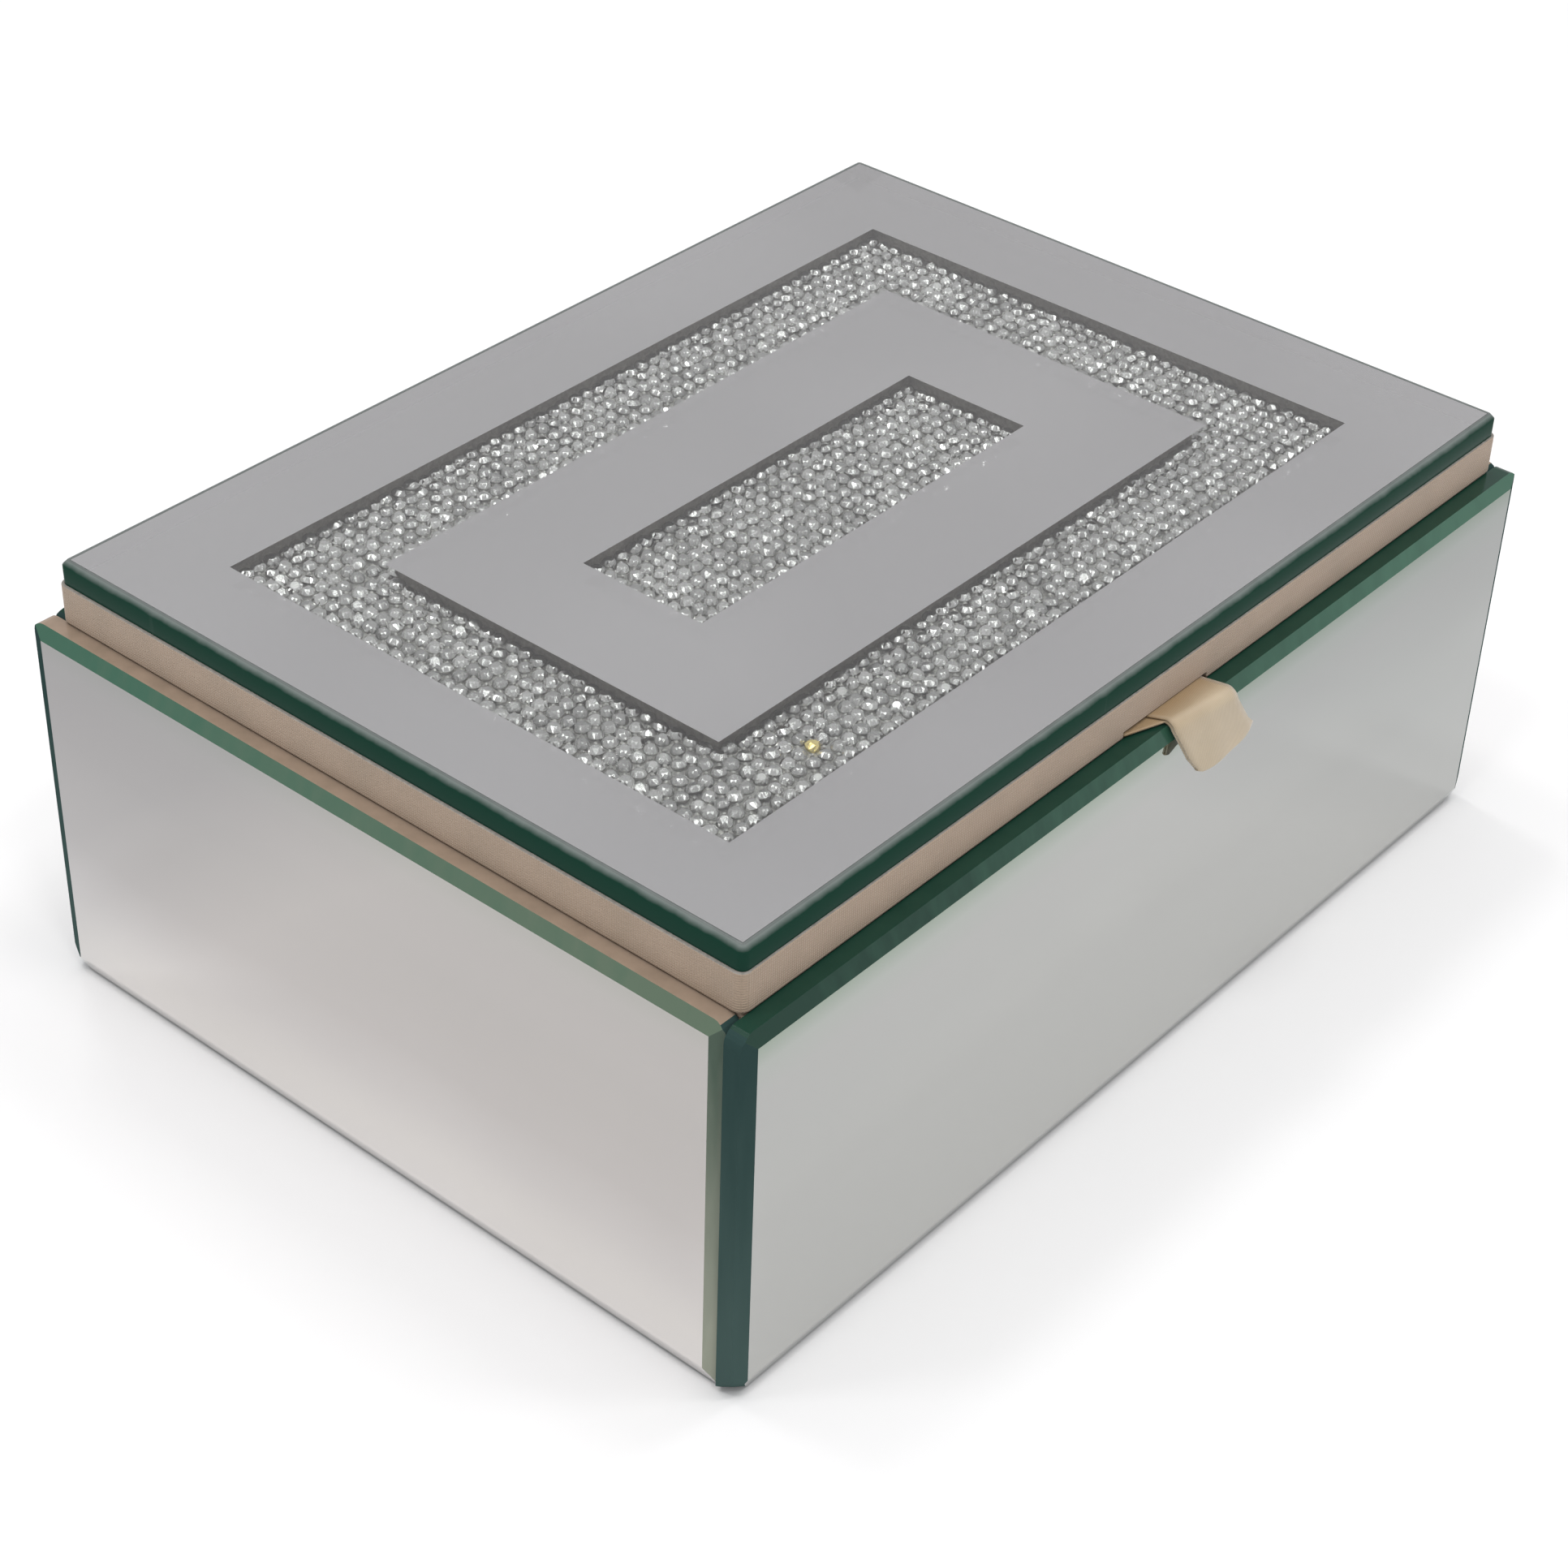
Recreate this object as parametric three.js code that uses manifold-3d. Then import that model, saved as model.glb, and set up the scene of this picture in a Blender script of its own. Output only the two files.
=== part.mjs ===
// Mirrored trinket box with a hinged lid.
// Millimetres, +Z up. The front, with the pull tab, faces -Y, and the hinges are along +Y.
// The origin is the centre of the underside.

import * as THREE from 'three';
import { mergeVertices } from 'three/addons/utils/BufferGeometryUtils.js';
import Module from 'manifold-3d';

const wasm = await Module();
wasm.setup();

// Driving dimensions

const LENGTH = 204; // left to right, outside the side glass
const WIDTH = 150; // front to back, outside the side glass
const HEIGHT = 81.5; // table to the top of the lid glass
const GLASS = 4; // thickness of all the mirror glass
const FIT = 0.1; // glue line between flat pieces
const CLEARANCE = 0.3; // round a piece that passes through another

const PANEL_FOOT = 0.6; // lower edge of the side glass
const PANEL_TOP = 70.2; // upper edge of the side glass
const PANEL_BEVEL = 2.6; // bevel round the outer face of the side glass
const PANEL_BEVEL_DEPTH = 1;
const PANEL_TOP_RADIUS = 2.5;
const FOOT_CUT = 5; // the box's lower corners are ground away this far along each edge
const FOOT_CUT_CENTRE = 12; // each is ground to a ball, centred this far in from all three faces

const FELT = 0.9;
const BASE_TOP = 6.9;
const WALL = 9; // thickness of the board walls
const WALL_EDGE_RADIUS = 1.2;
const LINER = 1.4; // velvet on card
const LINER_TOP = PANEL_TOP - 1.5;

const LID_LENGTH = 197;
const LID_WIDTH = 142.4;
const LID_RADIUS = 1.8;
const LID_UNDERSIDE = 70.5;
const LID_GLASS_LENGTH = 196;
const LID_GLASS_WIDTH = 141.6;
const LID_GLASS_RADIUS = 1.4;
const LID_GLASS_ARRIS = 0.8;

const WINDOW_LENGTH = 159; // outer rectangle of the clear ring
const WINDOW_WIDTH = 104;
const WINDOW_BAND = 17; // width of the clear ring
const BAR_LENGTH = 82; // clear bar in the middle
const BAR_WIDTH = 25;
const POCKET_OVERLAP = 1.5; // the pockets reach this far past the windows
const POCKET_FLOOR = 73.9;
const CRYSTAL_THICKNESS = 2;

const DIVIDER = 3;
const DIVIDER_HEIGHT = 42;
const DIVIDER_X = 18; // centre of the divider beside the ring rolls
const ROLL_COUNT = 5;
const ROLL_WIDTH = 23;
const ROLL_HEIGHT = 26;

const PAD_LENGTH = 171;
const PAD_WIDTH = 117;
const PAD_THICKNESS = 2.5;
const PAD_RADIUS = 4;

const TAB_WIDTH = 20; // both legs of its loop, side by side where they leave the lid board
const TAB_THICKNESS = 0.8;
const TAB_ROOT = 11; // length held under the lid board
const TAB_REACH = 4.6; // from the lid board's front face to the outside of the fold
const TAB_BEND = 2.2;
const TAB_TILT = 18; // of the hanging part, in degrees outwards
const TAB_HANG = 9.3; // length of the hanging part
const TAB_FOLD_SIDES = [-2.8, 11.5]; // left and right edges at the fold
const TAB_END_SIDES = [0.8, 15.5]; // and at the lower end
const TAB_END_RISE = 1.6; // from the lower end's left corner to its right one

const HINGE_X = 60; // each hinge's distance from the middle
const HINGE_Y = 73.2;
const HINGE_Z = 72.2;
const HINGE_LENGTH = 24;
const KNUCKLE_RADIUS = 1.7;
const KNUCKLE_BORE = 1;
const KNUCKLE_SHARE = 8; // length of the lid's middle knuckle
const PIN_RADIUS = 0.7;
const PIN_HEAD = 1.3;
const LEAF = 0.65;
const LEAF_FRONT = 60; // front edge of both leaves
const SCREW_X = 7; // from the hinge's middle
const SCREW_Y = 65.5;
const SCREW_HEAD = 1.5;
const SCREW_SHANK = 0.7;
const BODY_SCREW_LENGTH = 8;
const LID_SCREW_LENGTH = 5;

// Colours and finishes

const finish = (color, roughness, metalness) =>
  new THREE.MeshStandardMaterial({ color, roughness, metalness });
const mirrorFinish = () => finish(0xbdbbb9, 0.06, 1);
const crystalFinish = () => finish(0xa8a8a2, 0.15, 0.8);
const boardFinish = () => finish(0x9b8c80, 0.85, 0);
const velvetFinish = () => finish(0xb39f8c, 0.95, 0);
const feltFinish = () => finish(0x2c2c2c, 0.95, 0);
const satinFinish = () => finish(0xc3b296, 0.45, 0);
const brassFinish = () => finish(0xb8964f, 0.3, 1);

// Solids

function toManifold(geometry) {
  const bare = geometry.clone();
  bare.deleteAttribute('normal');
  bare.deleteAttribute('uv');
  const merged = mergeVertices(bare, 1e-4);
  return new wasm.Manifold(
    new wasm.Mesh({
      numProp: 3,
      vertProperties: new Float32Array(merged.attributes.position.array),
      triVerts: new Uint32Array(merged.index.array),
    }),
  );
}

function toGeometry(solid) {
  const mesh = solid.getMesh();
  const geometry = new THREE.BufferGeometry();
  geometry.setAttribute('position', new THREE.BufferAttribute(mesh.vertProperties, 3));
  geometry.setIndex(new THREE.BufferAttribute(mesh.triVerts, 1));
  const flat = geometry.toNonIndexed();
  flat.computeVertexNormals();
  return flat;
}

function subtract(geometry, cutters) {
  return toGeometry(
    cutters.reduce((solid, cutter) => solid.subtract(toManifold(cutter)), toManifold(geometry)),
  );
}

function join(geometries) {
  const [first, ...rest] = geometries.map(toManifold);
  return toGeometry(rest.reduce((solid, other) => solid.add(other), first));
}

function intersect(one, other) {
  return toGeometry(toManifold(one).intersect(toManifold(other)));
}

// A box from its low and high corners.
function block([x0, y0, z0], [x1, y1, z1]) {
  return new THREE.BoxGeometry(x1 - x0, y1 - y0, z1 - z0).translate(
    (x0 + x1) / 2,
    (y0 + y1) / 2,
    (z0 + z1) / 2,
  );
}

// A rectangle centred on the origin, with one radius for the lower corners and one for the upper.
function rectangle(width, height, lowerRadius, upperRadius = lowerRadius) {
  const x = width / 2;
  const y = height / 2;
  const shape = new THREE.Shape();
  const corner = (cx, cy, radius, start) => {
    if (radius === 0) {
      shape.lineTo(cx, cy);
      return;
    }
    const inX = cx - Math.sign(cx) * radius;
    const inY = cy - Math.sign(cy) * radius;
    shape.absarc(inX, inY, radius, start, start + Math.PI / 2, false);
  };
  shape.moveTo(0, -y);
  corner(x, -y, lowerRadius, -Math.PI / 2);
  corner(x, y, upperRadius, 0);
  corner(-x, y, upperRadius, Math.PI / 2);
  corner(-x, -y, lowerRadius, Math.PI);
  shape.closePath();
  return shape;
}

function extrude(shape, depth, curveSegments = 4) {
  return new THREE.ExtrudeGeometry(shape, { depth, bevelEnabled: false, curveSegments });
}

// A flat plate with rounded corners, lying with its lower face at z.
function plate(length, width, radius, z, thickness) {
  return extrude(rectangle(length, width, radius), thickness).translate(0, 0, z);
}

// A bar along X whose section stands in the YZ plane on z, with rounded upper edges.
function bar(length, width, height, radius, z) {
  return extrude(rectangle(width, height, 0, radius), length)
    .translate(0, height / 2, -length / 2)
    .rotateX(Math.PI / 2)
    .rotateZ(Math.PI / 2)
    .translate(0, 0, z);
}

function cylinder(radius, length, segments = 16) {
  return new THREE.CylinderGeometry(radius, radius, length, segments);
}

function named(name, geometry, material, group) {
  const mesh = new THREE.Mesh(geometry, material);
  mesh.name = name;
  group.add(mesh);
  return mesh;
}

const box = new THREE.Group();
const body = new THREE.Group();
const lid = new THREE.Group();
box.add(body, lid);

// Base

const innerLength = LENGTH - 2 * GLASS - 4 * FIT;
const innerWidth = WIDTH - 2 * GLASS - 4 * FIT;

named('base_felt', plate(innerLength, innerWidth, 4, 0, FELT), feltFinish(), body);
named(
  'base_panel',
  plate(innerLength, innerWidth, 1, FELT + FIT, BASE_TOP - FELT - FIT),
  boardFinish(),
  body,
);

// Side glass. The front panel covers the ends of the side panels, which cover the back panel's.

function mirrorPanel(width) {
  const height = PANEL_TOP - PANEL_FOOT;
  const bevelled = new THREE.ExtrudeGeometry(rectangle(width, height, 0), {
    depth: GLASS,
    bevelThickness: PANEL_BEVEL_DEPTH,
    bevelSize: PANEL_BEVEL,
    bevelOffset: -PANEL_BEVEL,
    bevelSegments: 1,
  }).translate(0, 0, -PANEL_BEVEL_DEPTH);
  const outline = rectangle(width, height, 0, PANEL_TOP_RADIUS);
  return intersect(bevelled, extrude(outline, GLASS, 3))
    .rotateX(Math.PI / 2)
    .translate(0, 0, PANEL_FOOT + height / 2);
}

// What is ground away at the box's four lower corners.
function footCuts() {
  const reach = FOOT_CUT_CENTRE;
  const ballRadius = Math.hypot(reach - FOOT_CUT, reach, reach);
  const cuts = [];
  for (const sideX of [-1, 1]) {
    for (const sideY of [-1, 1]) {
      const corner = [(sideX * LENGTH) / 2, (sideY * WIDTH) / 2, PANEL_FOOT];
      const centre = [corner[0] - sideX * reach, corner[1] - sideY * reach, corner[2] + reach];
      const low = centre.map((value, i) => Math.min(value, corner[i] + (corner[i] - value) / 2));
      const high = centre.map((value, i) => Math.max(value, corner[i] + (corner[i] - value) / 2));
      const ball = new THREE.SphereGeometry(ballRadius, 48, 24)
        .rotateX(Math.PI / 2)
        .translate(...centre);
      cuts.push(subtract(block(low, high), [ball]));
    }
  }
  return cuts;
}

const sideLength = WIDTH - GLASS - FIT;
const sideMiddle = (GLASS + FIT) / 2;
const panels = [
  { name: 'front_mirror_panel', width: LENGTH, x: 0, y: GLASS - WIDTH / 2, turn: 0 },
  { name: 'right_mirror_panel', width: sideLength, x: LENGTH / 2 - GLASS, y: sideMiddle, turn: 1 },
  { name: 'back_mirror_panel', width: innerLength, x: 0, y: WIDTH / 2 - GLASS, turn: 2 },
  { name: 'left_mirror_panel', width: sideLength, x: GLASS - LENGTH / 2, y: sideMiddle, turn: 3 },
];
const lowerCorners = footCuts();
for (const { name, width, x, y, turn } of panels) {
  const panel = mirrorPanel(width).rotateZ((turn * Math.PI) / 2).translate(x, y, 0);
  named(name, subtract(panel, lowerCorners), mirrorFinish(), body);
}

// Screws, used by the walls and the hinges. The slot is across the head.

function screw(length) {
  const profile = [
    new THREE.Vector2(0, -length),
    new THREE.Vector2(SCREW_SHANK, 1 - length),
    new THREE.Vector2(SCREW_SHANK, -LEAF),
    new THREE.Vector2(SCREW_HEAD, -FIT),
    new THREE.Vector2(SCREW_HEAD, 0),
    new THREE.Vector2(0, 0),
  ];
  const turned = new THREE.LatheGeometry(profile, 12).rotateX(Math.PI / 2);
  const slot = block([-SCREW_HEAD, -0.25, -0.3], [SCREW_HEAD, 0.25, 0.3]);
  return subtract(turned, [slot]);
}

function screwHole(x, y, z, length) {
  return cylinder(SCREW_SHANK + CLEARANCE, length, 12)
    .rotateX(Math.PI / 2)
    .translate(x, y, z);
}

const hingePlaces = { left: -HINGE_X, right: HINGE_X };
const screwPlaces = Object.values(hingePlaces).flatMap((x) => [x - SCREW_X, x + SCREW_X]);

// Walls of board, wrapped over their upper edges

const wallFoot = BASE_TOP + FIT;
const wallHeight = PANEL_TOP - wallFoot;
const wallY = innerWidth / 2 - WALL / 2;
const wallX = innerLength / 2 - WALL / 2;
const sideWallLength = innerWidth - 2 * WALL - 2 * FIT;

const longWall = bar(innerLength, WALL, wallHeight, WALL_EDGE_RADIUS, wallFoot);
const shortWall = bar(sideWallLength, WALL, wallHeight, WALL_EDGE_RADIUS, wallFoot);
const bodyScrewHoles = screwPlaces.map((x) =>
  screwHole(x, SCREW_Y - wallY, PANEL_TOP, 2 * (BODY_SCREW_LENGTH + CLEARANCE)),
);
named('front_wall', longWall, boardFinish(), body).position.y = -wallY;
named('back_wall', subtract(longWall, bodyScrewHoles), boardFinish(), body).position.y = wallY;
for (const [name, side] of [['left_wall', -1], ['right_wall', 1]]) {
  const wall = named(name, shortWall, boardFinish(), body);
  wall.position.x = side * wallX;
  wall.rotation.z = Math.PI / 2;
}

// Velvet liners on the floor and the walls

const roomLength = innerLength - 2 * WALL - 2 * FIT;
const roomWidth = innerWidth - 2 * WALL - 2 * FIT;
const floorTop = wallFoot + LINER;
const linerHeight = LINER_TOP - floorTop - FIT;

named('floor_liner', plate(roomLength, roomWidth, 0.5, wallFoot, LINER), velvetFinish(), body);
const longLiner = bar(roomLength, LINER, linerHeight, LINER / 2 - 0.05, floorTop + FIT);
const shortLiner = bar(
  roomWidth - 2 * LINER - 2 * FIT,
  LINER,
  linerHeight,
  LINER / 2 - 0.05,
  floorTop + FIT,
);
for (const [name, side] of [['front_liner', -1], ['back_liner', 1]]) {
  named(name, longLiner, velvetFinish(), body).position.y = (side * (roomWidth - LINER)) / 2;
}
for (const [name, side] of [['left_liner', -1], ['right_liner', 1]]) {
  const liner = named(name, shortLiner, velvetFinish(), body);
  liner.position.x = (side * (roomLength - LINER)) / 2;
  liner.rotation.z = Math.PI / 2;
}

// Dividers and ring rolls

const nestX = roomLength / 2 - LINER - FIT;
const nestY = roomWidth / 2 - LINER - FIT;
const nestFloor = floorTop + FIT;

function divider(length) {
  return bar(length, DIVIDER, DIVIDER_HEIGHT, DIVIDER / 2 - 0.05, nestFloor);
}

const crossDivider = named('cross_divider', divider(2 * nestY), velvetFinish(), body);
crossDivider.position.x = DIVIDER_X;
crossDivider.rotation.z = Math.PI / 2;
const trayStart = DIVIDER_X + DIVIDER / 2 + FIT;
const trayDivider = named('tray_divider', divider(nestX - trayStart), velvetFinish(), body);
trayDivider.position.x = (trayStart + nestX) / 2;

const rollEnd = DIVIDER_X - DIVIDER / 2 - CLEARANCE;
const rollStart = -nestX + CLEARANCE;
const rollPitch = (2 * nestY) / ROLL_COUNT;
for (let i = 0; i < ROLL_COUNT; i += 1) {
  const roll = named(
    `ring_roll_${i + 1}`,
    bar(rollEnd - rollStart, ROLL_WIDTH, ROLL_HEIGHT, ROLL_WIDTH / 2 - 0.5, nestFloor),
    velvetFinish(),
    body,
  );
  roll.position.x = (rollStart + rollEnd) / 2;
  roll.position.y = -nestY + (i + 0.5) * rollPitch;
}

// Lid board, with pockets for the crystals, mortises for the hinges and a slot for the tab

const glassUnderside = HEIGHT - GLASS;
const above = glassUnderside + 1;
const below = LID_UNDERSIDE - 1;

function layer(length, width, low, high) {
  return block([-length / 2, -width / 2, low], [length / 2, width / 2, high]);
}

function ring(length, width, band, low, high) {
  return subtract(layer(length, width, low, high), [
    layer(length - 2 * band, width - 2 * band, low - 1, high + 1),
  ]);
}

const overlap = 2 * POCKET_OVERLAP;
const ringPocket = ring(
  WINDOW_LENGTH + overlap,
  WINDOW_WIDTH + overlap,
  WINDOW_BAND + overlap,
  POCKET_FLOOR,
  above,
);
const barPocket = layer(BAR_LENGTH + overlap, BAR_WIDTH + overlap, POCKET_FLOOR, above);
const leafTop = PANEL_TOP + 2 * (FIT + LEAF);
const mortises = Object.values(hingePlaces).map((x) =>
  block(
    [x - HINGE_LENGTH / 2 - 1, LEAF_FRONT - CLEARANCE, below],
    [x + HINGE_LENGTH / 2 + 1, LID_WIDTH, leafTop + CLEARANCE],
  ),
);
const lidFront = -LID_WIDTH / 2;
const tabUnderside = LID_UNDERSIDE + FIT;
const tabSlot = block(
  [-TAB_WIDTH / 2 - CLEARANCE, lidFront - 1, below],
  [
    TAB_FOLD_SIDES[1] + CLEARANCE,
    lidFront + TAB_ROOT + CLEARANCE,
    tabUnderside + TAB_THICKNESS + FIT,
  ],
);
const lidScrewHoles = screwPlaces.map((x) =>
  screwHole(x, SCREW_Y, leafTop, 2 * LID_SCREW_LENGTH),
);
const boardBlank = plate(
  LID_LENGTH,
  LID_WIDTH,
  LID_RADIUS,
  LID_UNDERSIDE,
  glassUnderside - FIT - LID_UNDERSIDE,
);
const lidBoard = subtract(boardBlank, [
  ringPocket,
  barPocket,
  tabSlot,
  ...mortises,
  ...lidScrewHoles,
]);
named('lid_board', lidBoard, boardFinish(), lid);

// Crystals: a rectangular ring and a bar, on their backing

const crystalFloor = POCKET_FLOOR + FIT;
const crystalTop = crystalFloor + CRYSTAL_THICKNESS;
const slack = overlap - 2 * CLEARANCE;
named(
  'crystal_ring',
  ring(
    WINDOW_LENGTH + slack,
    WINDOW_WIDTH + slack,
    WINDOW_BAND + slack,
    crystalFloor,
    crystalTop,
  ),
  crystalFinish(),
  lid,
);
named(
  'crystal_bar',
  layer(BAR_LENGTH + slack, BAR_WIDTH + slack, crystalFloor, crystalTop),
  crystalFinish(),
  lid,
);

// Lid glass, silvered underneath except over the crystals

const lidGlass = new THREE.ExtrudeGeometry(
  rectangle(LID_GLASS_LENGTH, LID_GLASS_WIDTH, LID_GLASS_RADIUS),
  {
    depth: GLASS - 2 * LID_GLASS_ARRIS,
    bevelThickness: LID_GLASS_ARRIS,
    bevelSize: LID_GLASS_ARRIS,
    bevelOffset: -LID_GLASS_ARRIS,
    bevelSegments: 1,
    curveSegments: 5,
  },
);
named('lid_top_glass', lidGlass, mirrorFinish(), lid).position.z = glassUnderside + LID_GLASS_ARRIS;

// Padded velvet under the lid

const pad = plate(PAD_LENGTH, PAD_WIDTH, PAD_RADIUS, 0, PAD_THICKNESS);
named('lid_pad', pad, velvetFinish(), lid).position.z = LID_UNDERSIDE - FIT - PAD_THICKNESS;

// Ribbon pull tab: out from under the lid board, over a fold and down, leaning to the right

function tabProfile(tilt) {
  const centre = new THREE.Vector2(TAB_BEND - TAB_REACH, -TAB_BEND);
  const foldEnd = Math.PI - tilt;
  const lowerEnd = (radius) =>
    new THREE.Vector2(Math.cos(foldEnd), Math.sin(foldEnd))
      .multiplyScalar(radius)
      .add(centre)
      .add(new THREE.Vector2(-Math.sin(tilt), -Math.cos(tilt)).multiplyScalar(TAB_HANG));
  const inside = TAB_BEND - TAB_THICKNESS;
  const profile = new THREE.Shape();
  profile.moveTo(TAB_ROOT, 0);
  profile.lineTo(0, 0);
  profile.absarc(centre.x, centre.y, TAB_BEND, Math.PI / 2, foldEnd, false);
  profile.lineTo(...lowerEnd(TAB_BEND));
  profile.lineTo(...lowerEnd(inside));
  profile.absarc(centre.x, centre.y, inside, foldEnd, Math.PI / 2, true);
  profile.lineTo(0, -TAB_THICKNESS);
  profile.lineTo(TAB_ROOT, -TAB_THICKNESS);
  profile.closePath();
  return profile;
}

function tabGeometry() {
  const { clamp, degToRad, lerp } = THREE.MathUtils;
  const tilt = degToRad(TAB_TILT);
  const geometry = extrude(tabProfile(tilt), 1, 5);
  const points = geometry.attributes.position;
  for (let i = 0; i < points.count; i += 1) {
    const along = points.getX(i);
    const up = points.getY(i);
    const across = points.getZ(i);
    const atEnd = up < -TAB_HANG / 2;
    const folded = clamp(-along / (TAB_REACH - TAB_BEND), 0, 1);
    const [left, right] = atEnd
      ? TAB_END_SIDES
      : [-1, 1].map((side, k) => lerp((side * TAB_WIDTH) / 2, TAB_FOLD_SIDES[k], folded));
    const rise = atEnd ? across * TAB_END_RISE : 0;
    points.setXYZ(i, lerp(left, right, across), along + rise * Math.tan(tilt), up + rise);
  }
  geometry.computeVertexNormals();
  return geometry;
}

const tab = named('ribbon_tab', tabGeometry(), satinFinish(), lid);
tab.position.set(0, lidFront, tabUnderside + TAB_THICKNESS);

// Hinges: two knuckles on the body's leaf, one on the lid's, and a headed pin

const bodyLeafLow = PANEL_TOP + FIT;
const lidLeafLow = bodyLeafLow + LEAF + FIT;
const bodyKnuckle = (HINGE_LENGTH - KNUCKLE_SHARE) / 2 - CLEARANCE;
const leafBack = HINGE_Y - 2;

function alongX(geometry, x) {
  return geometry.rotateZ(Math.PI / 2).translate(x, HINGE_Y, HINGE_Z);
}

function leaf(low, knuckles, neckBack) {
  const high = low + LEAF;
  const half = HINGE_LENGTH / 2;
  const parts = [block([-half, LEAF_FRONT, low], [half, leafBack, high])];
  for (const { x, length } of knuckles) {
    parts.push(block([x - length / 2, leafBack - 1, low], [x + length / 2, neckBack, high]));
    parts.push(alongX(cylinder(KNUCKLE_RADIUS, length), x));
  }
  const cuts = [alongX(cylinder(KNUCKLE_BORE, HINGE_LENGTH + 2), 0)];
  return { solid: join(parts), cuts };
}

function countersink(x, high, up) {
  const profile = [
    new THREE.Vector2(0, -LEAF - 1),
    new THREE.Vector2(SCREW_SHANK + CLEARANCE, -LEAF - 1),
    new THREE.Vector2(SCREW_SHANK + CLEARANCE, -LEAF),
    new THREE.Vector2(SCREW_HEAD + CLEARANCE, -FIT),
    new THREE.Vector2(SCREW_HEAD + CLEARANCE, 1),
    new THREE.Vector2(0, 1),
  ];
  return new THREE.LatheGeometry(profile, 12)
    .rotateX((up * Math.PI) / 2)
    .translate(x, SCREW_Y, high);
}

const outerKnuckle = HINGE_LENGTH / 2 - bodyKnuckle / 2;
const bodyLeaf = leaf(
  bodyLeafLow,
  [
    { x: -outerKnuckle, length: bodyKnuckle },
    { x: outerKnuckle, length: bodyKnuckle },
  ],
  HINGE_Y,
);
const bodyLeafCuts = [-SCREW_X, SCREW_X].map((x) => countersink(x, bodyLeafLow + LEAF, 1));
const bodyLeafGeometry = subtract(bodyLeaf.solid, [...bodyLeaf.cuts, ...bodyLeafCuts]);

const lidLeaf = leaf(lidLeafLow, [{ x: 0, length: KNUCKLE_SHARE }], HINGE_Y - KNUCKLE_BORE);
const lidLeafCuts = [-SCREW_X, SCREW_X].map((x) => countersink(x, lidLeafLow, -1));
const lidLeafGeometry = subtract(lidLeaf.solid, [...lidLeaf.cuts, ...lidLeafCuts]);

function pinGeometry() {
  const half = HINGE_LENGTH / 2 + FIT;
  const profile = [
    new THREE.Vector2(0, -half - PIN_HEAD / 2),
    new THREE.Vector2(PIN_HEAD * 0.7, -half - PIN_HEAD / 2 + 0.2),
    new THREE.Vector2(PIN_HEAD, -half),
    new THREE.Vector2(PIN_RADIUS, -half),
    new THREE.Vector2(PIN_RADIUS, half),
    new THREE.Vector2(PIN_HEAD, half),
    new THREE.Vector2(PIN_HEAD * 0.7, half + PIN_HEAD / 2 - 0.2),
    new THREE.Vector2(0, half + PIN_HEAD / 2),
  ];
  return new THREE.LatheGeometry(profile, 12).rotateZ(Math.PI / 2);
}

for (const [side, x] of Object.entries(hingePlaces)) {
  named(`hinge_${side}_body_leaf`, bodyLeafGeometry, brassFinish(), body).position.x = x;
  named(`hinge_${side}_lid_leaf`, lidLeafGeometry, brassFinish(), lid).position.x = x;
  const pin = named(`hinge_${side}_pin`, pinGeometry(), brassFinish(), body);
  pin.position.set(x, HINGE_Y, HINGE_Z);
}

screwPlaces.forEach((x, i) => {
  const bodyScrew = named(`body_screw_${i + 1}`, screw(BODY_SCREW_LENGTH), brassFinish(), body);
  bodyScrew.position.set(x, SCREW_Y, bodyLeafLow + LEAF);
  const lidScrew = named(`lid_screw_${i + 1}`, screw(LID_SCREW_LENGTH), brassFinish(), lid);
  lidScrew.position.set(x, SCREW_Y, lidLeafLow);
  lidScrew.rotation.x = Math.PI;
});

export default box;
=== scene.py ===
"""The looks of a mirrored trinket box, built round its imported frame.

Metres, +Z up, the front towards -Y. Constants whose names end in _MM are millimetres.
"""

import math
import random

import bmesh
import bpy
from mathutils import Matrix, Quaternion, Vector


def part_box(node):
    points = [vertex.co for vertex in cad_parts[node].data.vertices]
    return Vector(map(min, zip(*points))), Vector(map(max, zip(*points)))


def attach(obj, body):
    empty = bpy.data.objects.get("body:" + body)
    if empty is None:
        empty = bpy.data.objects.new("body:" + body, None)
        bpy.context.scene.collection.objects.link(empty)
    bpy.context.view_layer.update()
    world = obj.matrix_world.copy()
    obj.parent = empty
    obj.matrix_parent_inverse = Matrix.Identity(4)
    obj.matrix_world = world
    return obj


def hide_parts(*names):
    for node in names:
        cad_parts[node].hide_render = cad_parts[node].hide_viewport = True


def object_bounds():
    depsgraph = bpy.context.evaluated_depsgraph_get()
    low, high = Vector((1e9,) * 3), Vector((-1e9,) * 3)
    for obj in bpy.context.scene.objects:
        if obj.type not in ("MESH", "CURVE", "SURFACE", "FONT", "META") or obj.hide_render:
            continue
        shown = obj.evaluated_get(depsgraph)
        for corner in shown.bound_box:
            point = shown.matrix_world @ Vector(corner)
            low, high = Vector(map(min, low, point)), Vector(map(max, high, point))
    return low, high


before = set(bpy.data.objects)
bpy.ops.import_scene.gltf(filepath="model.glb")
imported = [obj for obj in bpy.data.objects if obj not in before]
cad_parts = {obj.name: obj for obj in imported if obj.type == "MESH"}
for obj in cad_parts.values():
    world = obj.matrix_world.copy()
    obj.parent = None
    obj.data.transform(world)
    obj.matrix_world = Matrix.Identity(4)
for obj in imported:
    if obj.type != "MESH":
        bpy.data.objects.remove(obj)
cad_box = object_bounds()

MM = 0.001
WELD = 1e-6

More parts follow.
